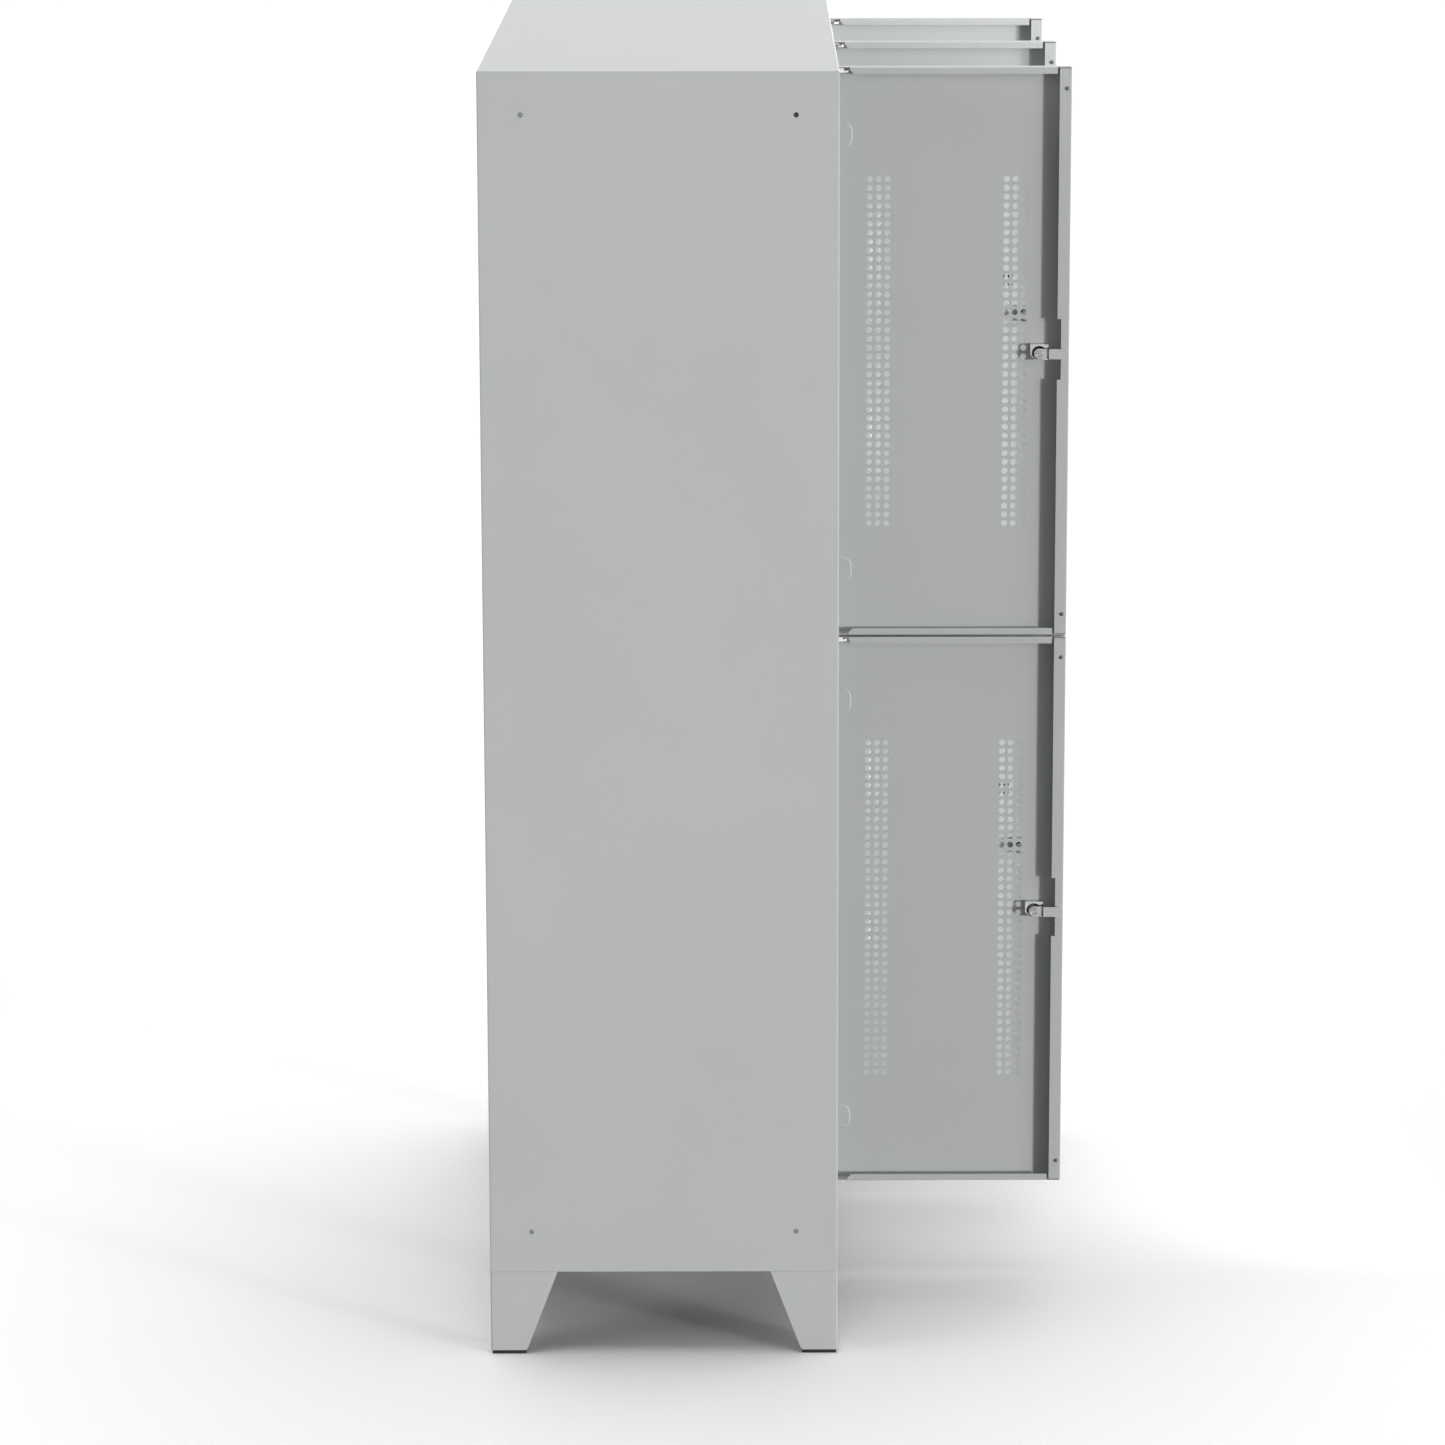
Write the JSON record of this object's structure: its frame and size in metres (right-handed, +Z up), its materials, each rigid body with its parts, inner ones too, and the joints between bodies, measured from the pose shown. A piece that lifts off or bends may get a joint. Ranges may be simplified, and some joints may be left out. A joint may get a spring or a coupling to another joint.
{
  "type": "double-tier clothes locker",
  "caption": "Free-standing steel clothes locker on sheet legs, with perforated pan doors in tiers on pivots, cam locks, shelves and clothes rails.",
  "frame": {"origin": "middle of the whole footprint with the doors at a right angle, on the floor", "axes": "+X to the locker's right as seen from its front, +Y towards its back, +Z up"},
  "size_m": [1.19, 0.841, 1.85],
  "materials": {
    "grey_painted_steel": "light grey powder coat, satin",
    "zinc_plated_steel": "bright zinc plate",
    "chrome_plated_zinc": "chrome plated die casting",
    "black_plastic": "moulded, matt"
  },
  "bodies": {
    "cabinet": {"side_panel_left": "grey_painted_steel", "side_panel_right": "grey_painted_steel", "roof": "grey_painted_steel", "floor_panel": "grey_painted_steel", "back_panel": "grey_painted_steel", "partition_1": "grey_painted_steel", "post_1": "grey_painted_steel", "partition_2": "grey_painted_steel", "post_2": "grey_painted_steel", "shelf_left": "grey_painted_steel", "shelf_middle": "grey_painted_steel", "shelf_right": "grey_painted_steel", "leg_front_left": "grey_painted_steel", "foot_cap_front_left": "black_plastic", "leg_front_right": "grey_painted_steel", "foot_cap_front_right": "black_plastic", "leg_rear_left": "grey_painted_steel", "foot_cap_rear_left": "black_plastic", "leg_rear_right": "grey_painted_steel", "foot_cap_rear_right": "black_plastic", "clothes_rail_lower_left": "zinc_plated_steel", "clothes_rail_lower_middle": "zinc_plated_steel", "clothes_rail_lower_right": "zinc_plated_steel", "clothes_rail_upper_left": "zinc_plated_steel", "clothes_rail_upper_middle": "zinc_plated_steel", "clothes_rail_upper_right": "zinc_plated_steel", "pivot_pin_bottom_left": "zinc_plated_steel", "pivot_pin_bottom_middle": "zinc_plated_steel", "pivot_pin_bottom_right": "zinc_plated_steel", "pivot_pin_middle_left": "zinc_plated_steel", "pivot_pin_middle_middle": "zinc_plated_steel", "pivot_pin_middle_right": "zinc_plated_steel", "pivot_pin_top_left": "zinc_plated_steel", "pivot_pin_top_middle": "zinc_plated_steel", "pivot_pin_top_right": "zinc_plated_steel"},
    "lower_left_door": {"door_lower_left": "grey_painted_steel", "hinge_bush_lower_left": "zinc_plated_steel", "lock_housing_lower_left": "chrome_plated_zinc"},
    "lower_left_cam": {"cam_lower_left": "zinc_plated_steel"},
    "lower_middle_door": {"door_lower_middle": "grey_painted_steel", "hinge_bush_lower_middle": "zinc_plated_steel", "lock_housing_lower_middle": "chrome_plated_zinc"},
    "lower_middle_cam": {"cam_lower_middle": "zinc_plated_steel"},
    "lower_right_door": {"door_lower_right": "grey_painted_steel", "hinge_bush_lower_right": "zinc_plated_steel", "lock_housing_lower_right": "chrome_plated_zinc"},
    "lower_right_cam": {"cam_lower_right": "zinc_plated_steel"},
    "upper_left_door": {"door_upper_left": "grey_painted_steel", "hinge_bush_upper_left": "zinc_plated_steel", "lock_housing_upper_left": "chrome_plated_zinc"},
    "upper_left_cam": {"cam_upper_left": "zinc_plated_steel"},
    "upper_middle_door": {"door_upper_middle": "grey_painted_steel", "hinge_bush_upper_middle": "zinc_plated_steel", "lock_housing_upper_middle": "chrome_plated_zinc"},
    "upper_middle_cam": {"cam_upper_middle": "zinc_plated_steel"},
    "upper_right_door": {"door_upper_right": "grey_painted_steel", "hinge_bush_upper_right": "zinc_plated_steel", "lock_housing_upper_right": "chrome_plated_zinc"},
    "upper_right_cam": {"cam_upper_right": "zinc_plated_steel"}
  },
  "joints": [
    {"name": "lower_left_door_hinge", "type": "hinge", "parent": "cabinet", "child": "lower_left_door", "pos_m": [-0.22853, -0.07402, 0.5673], "axis": [0, 0, 1], "range_deg": [-90, 20]},
    {"name": "lower_left_cam_turn", "type": "hinge", "parent": "lower_left_door", "child": "lower_left_cam", "pos_m": [-0.22853, -0.37708, 0.5673], "axis": [-1, 0, 0], "range_deg": [0, 90]},
    {"name": "lower_middle_door_hinge", "type": "hinge", "parent": "cabinet", "child": "lower_middle_door", "pos_m": [0.16813, -0.07402, 0.5673], "axis": [0, 0, 1], "range_deg": [-90, 20]},
    {"name": "lower_middle_cam_turn", "type": "hinge", "parent": "lower_middle_door", "child": "lower_middle_cam", "pos_m": [0.16813, -0.37708, 0.5673], "axis": [-1, 0, 0], "range_deg": [0, 90]},
    {"name": "lower_right_door_hinge", "type": "hinge", "parent": "cabinet", "child": "lower_right_door", "pos_m": [0.5648, -0.07402, 0.5673], "axis": [0, 0, 1], "range_deg": [-90, 20]},
    {"name": "lower_right_cam_turn", "type": "hinge", "parent": "lower_right_door", "child": "lower_right_cam", "pos_m": [0.5648, -0.37708, 0.5673], "axis": [-1, 0, 0], "range_deg": [0, 90]},
    {"name": "upper_left_door_hinge", "type": "hinge", "parent": "cabinet", "child": "upper_left_door", "pos_m": [-0.22853, -0.07402, 1.4047], "axis": [0, 0, 1], "range_deg": [-90, 20]},
    {"name": "upper_left_cam_turn", "type": "hinge", "parent": "upper_left_door", "child": "upper_left_cam", "pos_m": [-0.22853, -0.37708, 1.4047], "axis": [-1, 0, 0], "range_deg": [0, 90]},
    {"name": "upper_middle_door_hinge", "type": "hinge", "parent": "cabinet", "child": "upper_middle_door", "pos_m": [0.16813, -0.07402, 1.4047], "axis": [0, 0, 1], "range_deg": [-90, 20]},
    {"name": "upper_middle_cam_turn", "type": "hinge", "parent": "upper_middle_door", "child": "upper_middle_cam", "pos_m": [0.16813, -0.37708, 1.4047], "axis": [-1, 0, 0], "range_deg": [0, 90]},
    {"name": "upper_right_door_hinge", "type": "hinge", "parent": "cabinet", "child": "upper_right_door", "pos_m": [0.5648, -0.07402, 1.4047], "axis": [0, 0, 1], "range_deg": [-90, 20]},
    {"name": "upper_right_cam_turn", "type": "hinge", "parent": "upper_right_door", "child": "upper_right_cam", "pos_m": [0.5648, -0.37708, 1.4047], "axis": [-1, 0, 0], "range_deg": [0, 90]}
  ]
}
